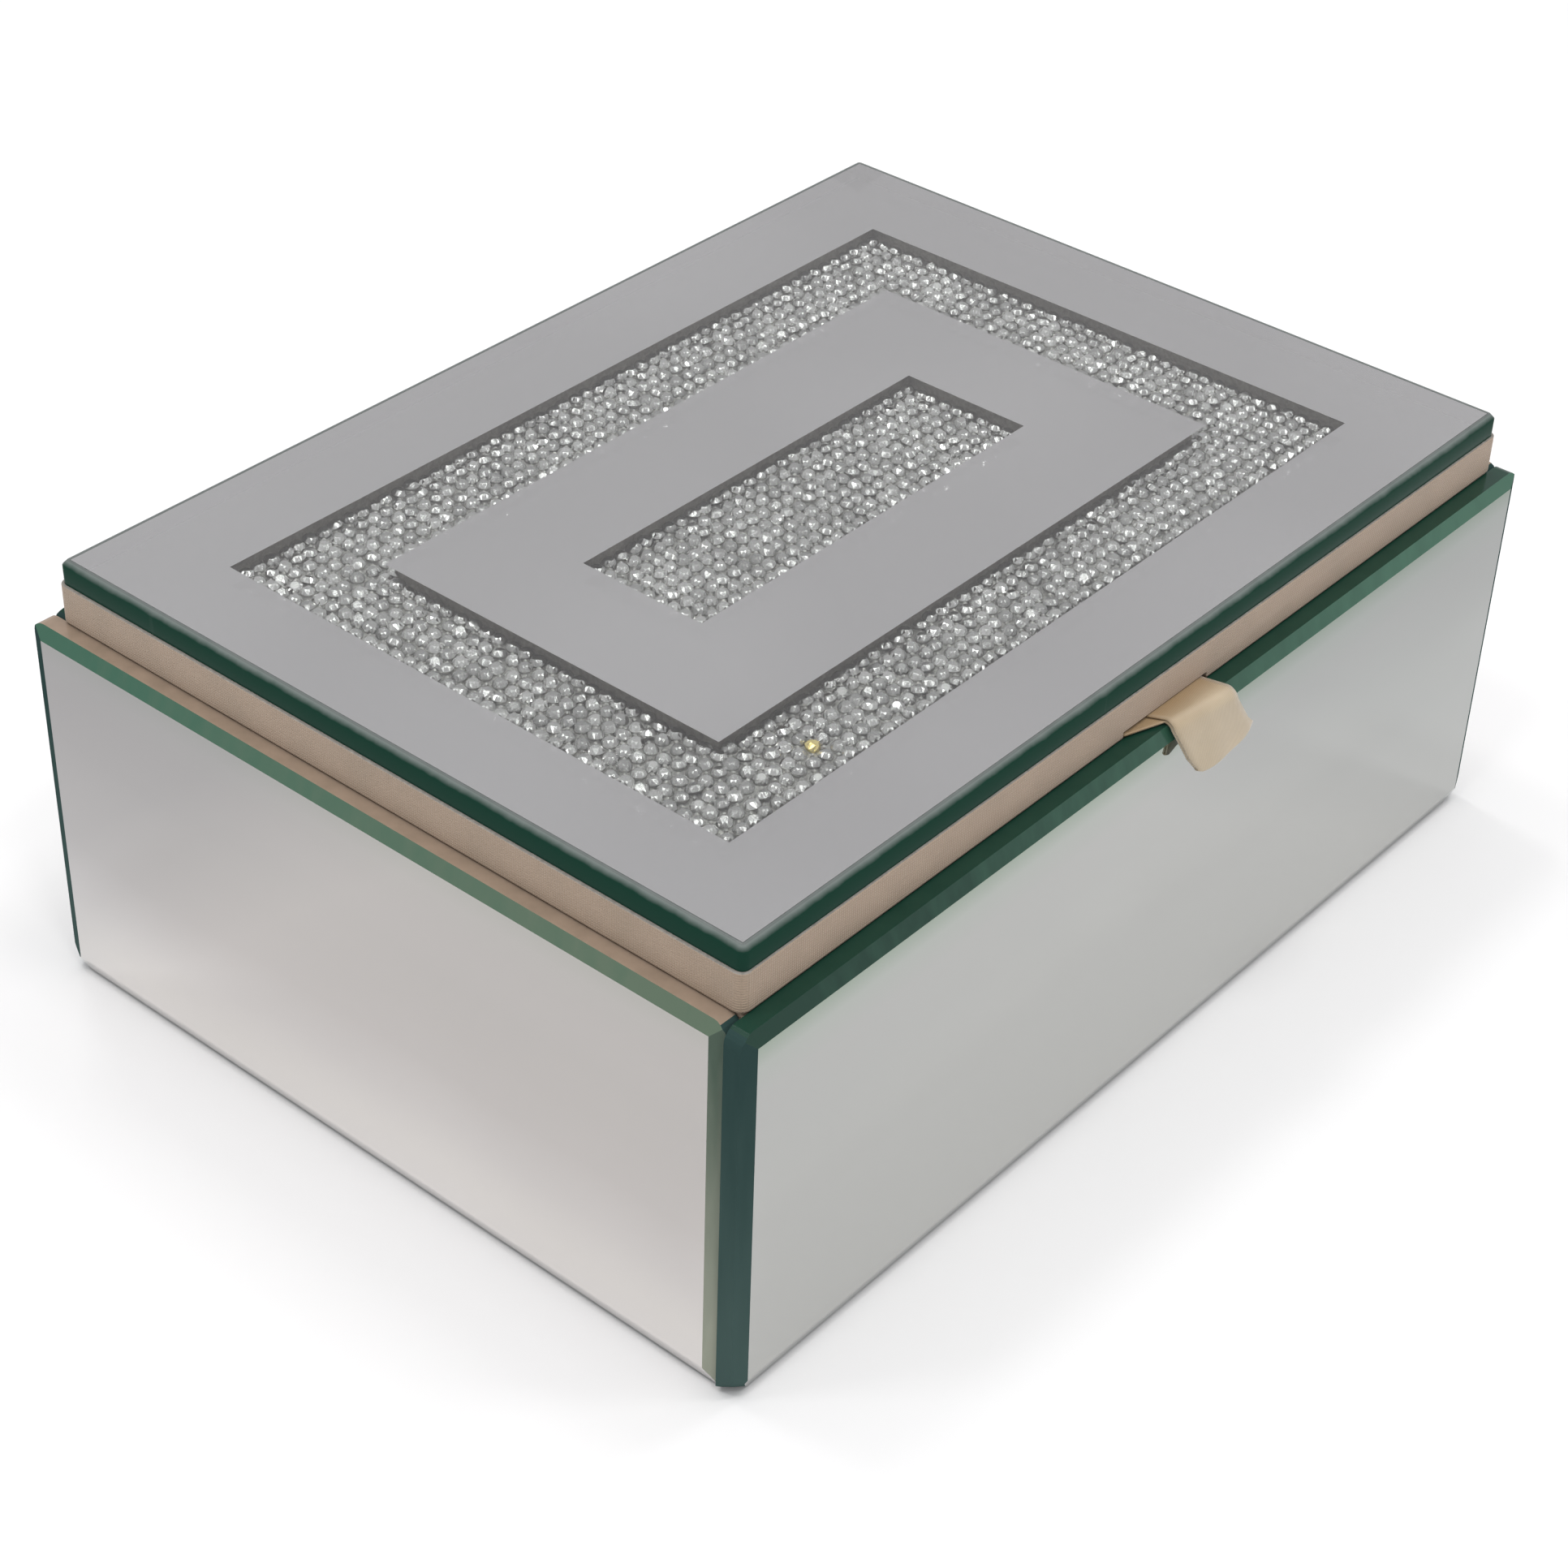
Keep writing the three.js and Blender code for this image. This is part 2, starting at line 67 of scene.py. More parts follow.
# Camera, measured from the middle of the CAD box
CAMERA_AZIMUTH = 50.68
CAMERA_ELEVATION = 36.46
CAMERA_ROLL = 2.04
CAMERA_DISTANCE = 0.540
CAMERA_AIM = Vector((-0.0201, -0.0111, -0.0029))
CAMERA_LENS_MM = 75.03
SENSOR_MM = 36

# Side panels
BEVEL_DROP_MM = 2.6  # from a panel's top down to its silvered face
BEVEL_REFLECTION_DROP_MM = 12  # the painted green reflection under the bevel fades out this far below the top
CORNER_RISE = 0.55  # how much height counts beside length towards a panel's upper corner, painted darker as a reflection
CLOUD_MM = 60  # size of the soft clouds in all the silver

# Lid glass and the clear windows in its silver
LID_CORNER_MM = 1.4
ARRIS_MM = 0.8
RIM_MM = 0.5  # strip of the top beside the arris, painted darker grey-green as a painted reflection of the glass edge
EDGE_GAP_MM = 0.05
WINDOW_MARGIN_MM = 1.2  # the crystals reach this far under the silver
BAND_MM = 17

# Crystals
PITCH_MM = 2.8
STONE_RADIUS_MM = 1.36
STONE_SLACK_MM = 0.35  # between the stones' tables and the top of their CAD plate
STONE_TILT = 0.12  # spread of the stones' tilt, in radians
STONE_WANDER_MM = 0.16  # spread of their places
SETTING_MM = 0.5  # height of the backing under the stones
BEAD_RADIUS_MM = 0.42
BEAD_RISE_MM = 0.3
YELLOW_GLINT_MM = (-52.6, -42.2)  # place of the stone painted yellow as a painted glint of coloured fire
YELLOW_GLINT_REACH_MM = 1.6

# Ribbon pull tab
RIBBON_WIDTH_MM = 14.5
RIBBON_THICKNESS_MM = 0.3
RIBBON_STACK_MM = 0.8  # both legs, one on the other
RIBBON_REACH_MM = 4.6  # from the lid board's front to the outside of the fold
RIBBON_BEND_MM = 2.2
RIBBON_HANG_MM = 9.1
RIBBON_TILT = 18  # of the hanging part, in degrees outwards
RIBBON_END_MM = 14.7  # width of the lower end
RIBBON_RISE_MM = 1.6  # from the lower end's left corner to its right one
RIBBON_SKEW_MM = 1.9  # how much further out the fold's right side reaches
SHADE_START_MM = -77  # the shade beside the lid's edge, from here back along Y
SHADE_END_MM = -72

# Padding
ROLL_SHRINK_MM = 0.7  # before the simulation plumps it
ROLL_CAP_MM = 0.9  # the furthest that a point may move
PAD_SHRINK_MM = 0.5
PAD_CAP_MM = 0.8
PAD_CORNER_MM = 4
CLOTH_SCALE = 10  # the simulation runs on a copy this many times larger

# Softened edges of the CAD nodes
WALL_EDGE_MM = 0.4
LINER_EDGE_MM = 0.3
HINGE_EDGE_MM = 0.12
SCREW_EDGE_MM = 0.06
FELT_EDGE_MM = 0.2
BASE_EDGE_MM = 0.3

# Lights
SOFTBOXES = [(-150, 58), (-100, 66), (-60, 60), (-20, 72), (20, 64), (110, 66), (150, 60), (180, 74)]
SOFTBOX_DISTANCE = 1.3
SOFTBOX_SIZE = 0.16
SOFTBOX_POWER = 1.3


# Materials


def srgb(red, green, blue):
    """A linear colour from 0 to 255 screen values."""

    def linear(value):
        value /= 255
        return value / 12.92 if value <= 0.04045 else ((value + 0.055) / 1.055) ** 2.4

    return (linear(red), linear(green), linear(blue), 1)


class Look:
    """A node material that ends in one Principled shader."""

    def __init__(self, name, **values):
        self.material = bpy.data.materials.new(name)
        self.material.use_nodes = True
        self.tree = self.material.node_tree
        self.shader = self.tree.nodes["Principled BSDF"]
        for socket, value in values.items():
            self.shader.inputs[socket.replace("_", " ")].default_value = value

    def node(self, kind, sockets=None, **settings):
        node = self.tree.nodes.new("ShaderNode" + kind)
        for key, value in settings.items():
            setattr(node, key, value)
        for key, value in (sockets or {}).items():
            self.feed(node.inputs[key], value)
        return node

    def feed(self, socket, value):
        if isinstance(value, bpy.types.NodeSocket):
            self.tree.links.new(value, socket)
        else:
            socket.default_value = value

    def place(self):
        """Position in the row frame, in metres."""
        return self.node("TexCoord").outputs["Object"]

    def stretched(self, factors):
        return self.node("Mapping", {"Vector": self.place(), "Scale": factors}).outputs[0]

    def noise(self, size_mm, detail=2, vector=None, roughness=0.5):
        sockets = {
            "Vector": vector or self.place(),
            "Scale": 1 / (size_mm * MM),
            "Detail": detail,
            "Roughness": roughness,
        }
        return self.node("TexNoise", sockets).outputs["Fac"]

    def threads(self, axis, pitch_mm, wobble=0.0):
        """Ridges across an axis, at a pitch."""
        sockets = {
            "Vector": self.place(),
            "Scale": 2 * math.pi / 20 / (pitch_mm * MM),
            "Distortion": wobble,
        }
        wave = self.node("TexWave", sockets, wave_type="BANDS", bands_direction=axis)
        return wave.outputs["Fac"]

    def math(self, operation, *values, clamp=False):
        node = self.node("Math", operation=operation, use_clamp=clamp)
        for socket, value in zip(node.inputs, values):
            self.feed(socket, value)
        return node.outputs[0]

    def ramp(self, factor, stops):
        node = self.node("ValToRGB", {"Fac": factor})
        elements = node.color_ramp.elements
        while len(elements) < len(stops):
            elements.new(0.5)
        for element, (position, colour) in zip(elements, stops):
            element.position = position
            element.color = colour
        return node.outputs["Color"]

    def multiplied(self, first, second):
        """Two colours multiplied."""
        node = self.node("Mix", {"Factor": 1.0}, data_type="RGBA", blend_type="MULTIPLY")
        self.feed(node.inputs[6], first)
        self.feed(node.inputs[7], second)
        return node.outputs[2]

    def between(self, factor, low, high):
        """A number from low to high as factor goes from 0 to 1."""
        node = self.node("MapRange", {"Value": factor, "To Min": low, "To Max": high})
        return node.outputs[0]

    def along(self, axis, start, end):
        """0 at start and 1 at end, in metres along an axis."""
        parts = self.node("SeparateXYZ", {"Vector": self.place()})
        sockets = {"Value": parts.outputs[axis], "From Min": start, "From Max": end}
        return self.node("MapRange", sockets).outputs[0]

    def colour(self, value):
        self.feed(self.shader.inputs["Base Color"], value)

    def roughness(self, value):
        self.feed(self.shader.inputs["Roughness"], value)

    def bump(self, height, depth_mm, strength=1.0):
        sockets = {"Height": height, "Distance": depth_mm * MM, "Strength": strength}
        self.feed(self.shader.inputs["Normal"], self.node("Bump", sockets).outputs[0])


def shades(colour, low, high):
    """Two colours, darker and lighter than the one given."""
    return (
        (*[channel * low for channel in colour[:3]], 1),
        (*[channel * high for channel in colour[:3]], 1),
    )


def mirror_look(name, colour):
    look = Look(name, Metallic=1.0, Specular_IOR_Level=0.5)
    dark, light = shades(colour, 0.97, 1.03)
    look.colour(look.ramp(look.noise(CLOUD_MM, 1), [(0.35, dark), (0.65, light)]))
    look.roughness(look.between(look.noise(25, 3), 0.015, 0.05))
    return look.material


def painted_reflection_mirror_look(name, axis, low, high, stops, painted_dark, bevel_reflection):
    """Silver with a painted reflection that varies with height, with soft clouds and one upper
    corner painted darker.

    The shading is painted and stands in for a room's reflection. The corner's argument is (start,
    end, stops): where the darker painted corner starts and ends, measured from the panel's low
    corner as the share of its length plus
    CORNER_RISE of the share of its height. The last argument is how green the silver is painted just
    under the top bevel, a painted reflection of the green glass.
    """
    look = Look(name, Metallic=1.0, Specular_IOR_Level=0.5)
    index = "XY".index(axis)
    height = look.along("Z", low.z, high.z)
    across = look.along(axis, low[index], high[index])
    cloud = look.between(look.noise(CLOUD_MM, 1), -0.1, 0.1)
    share = look.math("ADD", height, cloud, clamp=True)
    start, end, painted_dark_stops = painted_dark
    slant = look.math("MULTIPLY_ADD", height, CORNER_RISE, across)
    slant = look.math("MULTIPLY_ADD", cloud, 0.3, slant)
    corner = look.node("MapRange", {"Value": slant, "From Min": start, "From Max": end})
    under_bevel = look.along("Z", high.z - BEVEL_REFLECTION_DROP_MM * MM, high.z - BEVEL_DROP_MM * MM)
    # painted reflection: the silver turns green just under the top bevel, standing in for the green
    # glass seen in it
    green = (1 - 0.3 * bevel_reflection, 1 - 0.18 * bevel_reflection, 1 - 0.29 * bevel_reflection, 1)
    halfway = (1 - 0.06 * bevel_reflection, 1 - 0.02 * bevel_reflection, 1 - 0.05 * bevel_reflection, 1)
    tint = look.ramp(under_bevel, [(0.0, (1, 1, 1, 1)), (0.6, halfway), (1.0, green)])
    # painted reflection: the height ramp, darkened towards one upper corner
    painted_reflection_colour = look.multiplied(look.ramp(share, stops), look.ramp(corner.outputs[0], painted_dark_stops))
    look.colour(look.multiplied(painted_reflection_colour, tint))
    look.roughness(look.between(look.noise(25, 3), 0.02, 0.06))
    return look.material


def edge_look(name, dark, light, axis=None, start=0.0, end=1.0, shine=0.2):
    """Ground glass edge with faint streaks, and painted light from dark to light along an axis when
    one is given.
    """
    look = Look(name, IOR=1.5, Specular_IOR_Level=shine)
    streaks = look.noise(3, 2, look.stretched((1, 1, 0.15)))
    if axis is None:
        share = streaks
    else:
        lit = look.along(axis, start, end)
        share = look.math("ADD", lit, look.between(streaks, -0.25, 0.25), clamp=True)
    look.colour(look.ramp(share, [(0.1, dark), (0.9, light)]))
    look.roughness(look.between(look.noise(2, 2), 0.08, 0.22))
    return look.material


def cloth_look(name, colour):
    """Fine plain weave with a faint two-tone mottle."""
    look = Look(name, Sheen_Weight=0.25, Sheen_Roughness=0.4, Specular_IOR_Level=0.35)
    across = look.math("MAXIMUM", look.threads("X", 0.45, 0.4), look.threads("Y", 0.45, 0.4))
    weave = look.math("MULTIPLY", across, look.threads("Z", 0.45, 0.4))
    mottle = look.noise(9, 3)
    share = look.math("ADD", look.between(weave, 0, 0.35), look.between(mottle, 0.1, 0.65))
    dark, light = shades(colour, 0.82, 1.12)
    pink = (colour[0] * 1.03, colour[1] * 0.95, colour[2] * 0.95, 1)
    look.colour(look.ramp(share, [(0.15, dark), (0.5, pink), (0.85, light)]))
    look.roughness(look.between(weave, 0.62, 0.8))
    look.bump(weave, 0.08)
    return look.material


def velvet_look(name, colour):
    look = Look(name, Sheen_Weight=0.7, Sheen_Roughness=0.35, Specular_IOR_Level=0.2)
    look.shader.inputs["Sheen Tint"].default_value = shades(colour, 1, 1.5)[1]
    nap = look.noise(38, 1)
    pile = look.noise(0.35, 3)
    share = look.math("ADD", look.between(nap, 0, 0.6), look.between(pile, 0, 0.4))
    dark, light = shades(colour, 0.84, 1.1)
    look.colour(look.ramp(share, [(0.3, dark), (0.7, light)]))
    look.roughness(look.between(nap, 0.8, 0.95))
    look.bump(pile, 0.15, 0.8)
    return look.material


def felt_look(name, colour):
    look = Look(name, Specular_IOR_Level=0.2)
    hair = look.noise(0.6, 4, roughness=0.7)
    dark, light = shades(colour, 0.7, 1.5)
    look.colour(look.ramp(hair, [(0.3, dark), (0.7, light)]))
    look.roughness(look.between(hair, 0.88, 1.0))
    look.bump(hair, 0.3)
    return look.material


def fibreboard_look(name, colour):
    look = Look(name, Specular_IOR_Level=0.3)
    fleck = look.noise(0.9, 4, roughness=0.75)
    dark, light = shades(colour, 0.7, 1.2)
    look.colour(look.ramp(fleck, [(0.3, dark), (0.7, light)]))
    look.roughness(look.between(fleck, 0.7, 0.9))
    look.bump(fleck, 0.06)
    return look.material


def satin_look(name, colour):
    """Satin ribbon: fine warp threads, a soft shine, and a painted shade beside the lid's edge."""
    look = Look(name, Sheen_Weight=0.5, Sheen_Roughness=0.3, Specular_IOR_Level=0.6)
    look.shader.inputs["Anisotropic"].default_value = 0.5
    threads = look.threads("X", 0.25, 0.3)
    cloud = look.noise(5, 2)
    share = look.math("ADD", look.between(threads, 0, 0.4), look.between(cloud, 0, 0.6))
    dark, light = shades(colour, 0.77, 1.04)
    shadowed = (0.62 * colour[0], 0.5 * colour[1], 0.36 * colour[2], 1)
    plain = look.ramp(share, [(0.2, dark), (0.8, light)])
    beside_lid = look.along("Y", SHADE_START_MM * MM, SHADE_END_MM * MM)
    shade = look.math("MULTIPLY", beside_lid, 0.9)
    mixed = look.node("Mix", {"Factor": shade}, data_type="RGBA")
    look.feed(mixed.inputs[6], plain)
    look.feed(mixed.inputs[7], shadowed)
    look.colour(mixed.outputs[2])
    look.roughness(look.between(cloud, 0.35, 0.5))
    look.bump(threads, 0.03)
    return look.material


def brass_look(name, colour):
    look = Look(name, Metallic=1.0)
    grain = look.noise(1.2, 3, look.stretched((0.1, 1, 1)))
    dark, light = shades(colour, 0.8, 1.1)
    look.colour(look.ramp(look.noise(6, 2), [(0.3, dark), (0.7, light)]))
    look.roughness(look.between(grain, 0.2, 0.42))
    look.bump(grain, 0.02)
    return look.material


def stone_look(name, colour, low=0.55):
    """Foiled glass stone: each one is a little darker or lighter than the next."""
    look = Look(name, Metallic=1.0)
    tint = look.node("Attribute", attribute_name="tint").outputs["Fac"]
    bright = look.node("MapRange", {"Value": tint, "From Min": 0.9, "From Max": 0.94})
    look.roughness(look.between(bright.outputs[0], 0.27, 0.08))
    dark, light = shades(colour, low, 1.0)
    look.colour(look.ramp(tint, [(0.0, dark), (1.0, light)]))
    return look.material


def backing_look(name, colour):
    look = Look(name, Metallic=0.6)
    grain = look.noise(0.5, 2)
    dark, light = shades(colour, 0.6, 1.3)
    look.colour(look.ramp(grain, [(0.3, dark), (0.7, light)]))
    look.roughness(look.between(grain, 0.35, 0.6))
    return look.material


def clear_glass_look(name):
    look = Look(name, Transmission_Weight=1.0, Roughness=0.0, IOR=1.5)
    look.shader.inputs["Base Color"].default_value = (0.965, 0.985, 0.975, 1)
    return look.material


SILVER = (0.64, 0.635, 0.64, 1)
DARK_GREEN = srgb(22, 55, 44)
MID_GREEN = srgb(58, 98, 80)
PALE_GREEN = srgb(92, 110, 92)
TEAL = srgb(48, 68, 66)
CHAMPAGNE = srgb(161, 146, 127)
VELVET = srgb(186, 168, 150)
CREAM = srgb(190, 174, 148)

lid_silver = mirror_look("lid_silver", SILVER)
clear_glass = clear_glass_look("clear_glass")
glass_edge = edge_look("glass_edge", DARK_GREEN, srgb(30, 62, 50))
# painted reflection: the side panels' polished top edges are painted beige, standing in for the
# cloth seen in them
cloth_reflection_edge = edge_look("cloth_reflection_edge", srgb(138, 122, 106), srgb(158, 139, 122))
panel_low, panel_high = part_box("left_mirror_panel")
upright = ("Z", panel_low.z, panel_high.z)
# painted light: the panels' end edges, lighter towards the foot
corner_edge = edge_look("corner_edge", srgb(68, 87, 84), TEAL, *upright, shine=0.0)
backing_paint = fibreboard_look("mirror_backing_paint", srgb(96, 98, 100))
cloth = cloth_look("champagne_cloth", CHAMPAGNE)
velvet = velvet_look("velvet", VELVET)
pad_velvet = velvet_look("pad_velvet", VELVET)
felt = felt_look("felt", srgb(44, 44, 46))
fibreboard = fibreboard_look("fibreboard", srgb(150, 118, 86))
satin = satin_look("satin", CREAM)
brass = brass_look("brass", srgb(214, 190, 140))
stone = stone_look("stone", (0.66, 0.655, 0.645, 1), 0.6)
# painted glint: one stone painted yellow, standing in for a flash of coloured fire
yellow_glint_stone = stone_look("yellow_glint_stone", (1.0, 0.83, 0.35, 1), 0.9)
stone_backing = backing_look("stone_backing", srgb(176, 175, 171))


# Making pieces


def add_piece(name, bm, looks, body, nodes=(), smooth=30):
    """A new piece from a bmesh in the row frame, riding on a body and standing for CAD nodes."""
    mesh = bpy.data.meshes.new(name)
    bm.to_mesh(mesh)
    bm.free()
    for look in looks:
        mesh.materials.append(look)
    for polygon in mesh.polygons:
        polygon.use_smooth = smooth > 0
    if smooth:
        mesh.set_sharp_from_angle(angle=math.radians(smooth))
    piece = bpy.data.objects.new(name, mesh)
    bpy.context.scene.collection.objects.link(piece)
    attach(piece, body)
    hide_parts(*nodes)
    return piece


def soften(piece, width_mm, segments=2, angle=30):
    """Rounds the sharp edges."""
    bevel = piece.modifiers.new("soft_edges", "BEVEL")
    bevel.width = width_mm * MM
    bevel.segments = segments
    bevel.limit_method = "ANGLE"
    bevel.angle_limit = math.radians(angle)
    bevel.harden_normals = True
    return piece


def dress(names, look, width_mm):
    """Gives CAD nodes a material and softened edges."""
    for name in names:
        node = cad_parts[name]
        node.data.materials.clear()
        node.data.materials.append(look)
        weld = node.modifiers.new("weld", "WELD")
        weld.merge_threshold = WELD
        flats = node.modifiers.new("flats", "DECIMATE")
        flats.decimate_type = "DISSOLVE"
        flats.angle_limit = math.radians(1)
        soften(node, width_mm)


def solid_copy(node):
    """A bmesh of a CAD node, with its flat faces whole."""
    bm = bmesh.new()
    bm.from_mesh(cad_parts[node].data)
    bmesh.ops.remove_doubles(bm, verts=bm.verts, dist=WELD)
    bmesh.ops.dissolve_limit(
        bm, angle_limit=math.radians(1), verts=bm.verts, edges=bm.edges
    )
    return bm


def rounded_loop(length, width, radius, inset=0.0, steps=6):
    """Points round a rectangle with round corners, counter-clockwise, by corner."""
    radius = max(radius - inset, 0.0001)
    corners = []
    for sign_x, sign_y, start in ((1, -1, -90), (1, 1, 0), (-1, 1, 90), (-1, -1, 180)):
        centre_x = sign_x * (length / 2 - inset - radius)
        centre_y = sign_y * (width / 2 - inset - radius)
        turns = [math.radians(start + 90 * i / steps) for i in range(steps + 1)]
        corners.append(
            [(centre_x + radius * math.cos(t), centre_y + radius * math.sin(t)) for t in turns]
        )
    return corners


def ring_of(bm, points, z):
    return [bm.verts.new((x, y, z)) for x, y in points]


def join_rings(bm, lower, upper, index=0):
    """Quads between two closed rings of points."""
    count = len(lower)
    for i in range(count):
        j = (i + 1) % count
        face = bm.faces.new((lower[i], lower[j], upper[j], upper[i]))
        face.material_index = index


def rectangle(bm, length, width, z):
    corners = ((1, -1), (1, 1), (-1, 1), (-1, -1))
    return [bm.verts.new((x * length / 2, y * width / 2, z)) for x, y in corners]


# Side panels: silvered face, ground bevel, polished edges, painted back


def panel(name, outward, silver, bevel, end_bevel, top_edge):
    node = f"{name}_mirror_panel"
    bm = solid_copy(node)
    face_index, bevel_index, end_bevel_index, edge_index, back_index, end_index = range(6)
    for face in bm.faces:
        facing = face.normal.dot(outward)
        if facing > 0.995:
            face.material_index = face_index
        elif facing > 0.8 and face.normal.z > 0.1:
            face.material_index = bevel_index
        elif facing > 0.8 and face.normal.z < -0.1:
            face.material_index = face_index
        elif facing > 0.8:
            front_end = face.calc_center_median().y < 0
            face.material_index = end_bevel_index if front_end else end_index
        elif facing < -0.9:
            face.material_index = back_index
        elif face.normal.z > 0.9:
            face.material_index = edge_index
        else:
            face.material_index = end_index
    looks = [silver, bevel, end_bevel, top_edge, backing_paint, corner_edge]
    piece = add_piece(f"{name}_mirror_glass", bm, looks, "body", [node], 15)
    return soften(piece, 0.25, 2, 35)


def panels():
    front_low, front_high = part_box("front_mirror_panel")
    left_low, left_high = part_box("left_mirror_panel")
    # painted light: the front bevel lighter towards +X, the side bevels lighter towards the front,
    # and the side bevels' ends lighter towards the foot
    front_bevel = edge_look(
        "front_bevel", DARK_GREEN, MID_GREEN, "X", front_low.x, front_high.x
    )
    side_bevel = edge_look(
        "side_bevel", PALE_GREEN, MID_GREEN, "Y", left_low.y, left_high.y
    )
    side_end_bevel = edge_look(
        "side_end_bevel", srgb(152, 156, 142), srgb(82, 97, 86), *upright, shine=0.0
    )
    # painted reflection: the silver's brightness by height, brightest at the foot and darker up the
    # panel
    front_reflection_stops = [
        (0.0, (0.515, 0.518, 0.50, 1)),
        (0.41, (0.51, 0.513, 0.497, 1)),
        (0.557, (0.49, 0.493, 0.477, 1)),
        (0.70, (0.452, 0.455, 0.442, 1)),
        (0.85, (0.432, 0.434, 0.423, 1)),
    ]
    side_reflection_stops = [
        (0.0, (0.80, 0.775, 0.755, 1)),
        (0.118, (0.75, 0.725, 0.70, 1)),
        (0.265, (0.645, 0.62, 0.605, 1)),
        (0.41, (0.55, 0.525, 0.51, 1)),
        (0.557, (0.505, 0.482, 0.467, 1)),
        (0.70, (0.47, 0.45, 0.436, 1)),
        (0.85, (0.455, 0.435, 0.422, 1)),
    ]
    # painted reflection: how much darker each panel's upper corner is painted
    side_corner_reflection = [
        (0.0, (1, 1, 1, 1)),
        (0.55, (0.785, 0.80, 0.82, 1)),
        (1.0, (0.735, 0.75, 0.775, 1)),
    ]
    front_corner_reflection = [
        (0.0, (1, 1, 1, 1)),
        (0.5, (0.81, 0.825, 0.83, 1)),
        (1.0, (0.73, 0.745, 0.75, 1)),
    ]
    # the last number is how green the silver is painted under the bevel, a painted reflection
    front_silver = painted_reflection_mirror_look(
        "front_silver", "X", front_low, front_high, front_reflection_stops, (0.92, 1.38, front_corner_reflection), 1.0
    )
    side_silver = painted_reflection_mirror_look(
        "side_silver", "Y", left_low, left_high, side_reflection_stops, (0.93, 1.42, side_corner_reflection), 0.25
    )
    front_looks = (front_silver, front_bevel, corner_edge, glass_edge)
    side_looks = (side_silver, side_bevel, side_end_bevel, cloth_reflection_edge)
    panel("front", Vector((0, -1, 0)), *front_looks)
    panel("back", Vector((0, 1, 0)), *front_looks)
    panel("left", Vector((-1, 0, 0)), *side_looks)
    panel("right", Vector((1, 0, 0)), *side_looks)


# Lid: glass slab silvered underneath, its green edge, the wrapped board


def window_sizes():
    """The clear ring's outer and inner rectangles and the clear bar, as (length, width)."""
    ring_low, ring_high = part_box("crystal_ring")
    bar_low, bar_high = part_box("crystal_bar")
    margin = 2 * WINDOW_MARGIN_MM * MM
    outer = [side - margin for side in (ring_high - ring_low)[:2]]
    inner = [side - 2 * BAND_MM * MM for side in outer]
    clear_bar = [side - margin for side in (bar_high - bar_low)[:2]]
    return outer, inner, clear_bar


def lid_glass():
    low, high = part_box("lid_top_glass")
    length, width = (high - low)[:2]
    radius = LID_CORNER_MM * MM
    inset = (ARRIS_MM + RIM_MM + EDGE_GAP_MM) * MM
    bm = bmesh.new()
    clear, silver = 0, 1

    def loop(z):
        corners = rounded_loop(length, width, radius, inset)
        return ring_of(bm, [point for corner in corners for point in corner], z)

    top, bottom = loop(high.z), loop(low.z)
    bm.faces.new(top).material_index = clear
    join_rings(bm, bottom, top, clear)

    outer, inner, clear_bar = (rectangle(bm, *size, low.z) for size in window_sizes())
    join_rings(bm, inner, outer, clear)
    join_rings(bm, clear_bar, inner, silver)
    bm.faces.new(clear_bar[::-1]).material_index = clear
    per_corner = len(bottom) // 4
    for i in range(4):
        arc = bottom[i * per_corner : (i + 1) * per_corner]
        following = bottom[(i + 1) * per_corner % len(bottom)]
        bm.faces.new([outer[i], *arc[::-1]]).material_index = silver
        side = (outer[i], outer[(i + 1) % 4], following, arc[-1])
        bm.faces.new(side).material_index = silver
    bmesh.ops.recalc_face_normals(bm, faces=bm.faces)
    looks = [clear_glass, lid_silver]
    add_piece("lid_glass", bm, looks, "lid", ["lid_top_glass"], 20)


def lid_glass_edge():
    """The polished edge with its arris, a narrow frame round the slab, silvery inside."""
    low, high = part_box("lid_top_glass")
    length, width = (high - low)[:2]
    arris = ARRIS_MM * MM
    inner = arris + RIM_MM * MM
    section = [
        (0, low.z),
        (0, high.z - arris),
        (arris, high.z),
        (inner, high.z),
        (inner, low.z),
    ]
    # the rim's strip is painted darker, a painted reflection
    green, painted_dark, silver = 0, 1, 2
    indices = (green, green, painted_dark, silver, green)
    bm = bmesh.new()
    rings = []
    for inset, z in section:
        corners = rounded_loop(length, width, LID_CORNER_MM * MM, inset)
        rings.append(ring_of(bm, [p for corner in corners for p in corner], z))
    for i, ring in enumerate(rings):
        join_rings(bm, ring, rings[(i + 1) % len(rings)], indices[i])
    bmesh.ops.recalc_face_normals(bm, faces=bm.faces)
    # painted reflection: the arris fades from the dark green edge to silvery grey at the top, and
    # the rim beside it is painted darker grey-green
    edge = edge_look(
        "lid_edge", DARK_GREEN, srgb(108, 116, 113), "Z", high.z - arris, high.z, shine=0.05
    )
    rim = edge_look("lid_rim", srgb(94, 100, 98), srgb(108, 113, 111), shine=0.05)
    looks = [edge, rim, lid_silver]
    add_piece("lid_glass_edge", bm, looks, "lid", ["lid_top_glass"], 60)


def lid_board():
    """The wrapped board: cloth outside, bare board inside the pockets."""
    low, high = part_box("lid_board")
    bm = solid_copy("lid_board")
    wrapped, bare = 0, 1
    for face in bm.faces:
        middle = face.calc_center_median()
        inside = (
            low.x + 1 * MM < middle.x < high.x - 1 * MM
            and low.y + 1 * MM < middle.y < high.y - 1 * MM
        )
        face.material_index = bare if inside and middle.z > low.z + 1 * MM else wrapped
    pocket = fibreboard_look("pocket_board", srgb(150, 145, 138))
    piece = add_piece(
        "lid_board_wrapped", bm, [cloth, pocket], "lid", ["lid_board"], 25
    )
    soften(piece, 0.5, 3)


# Crystals


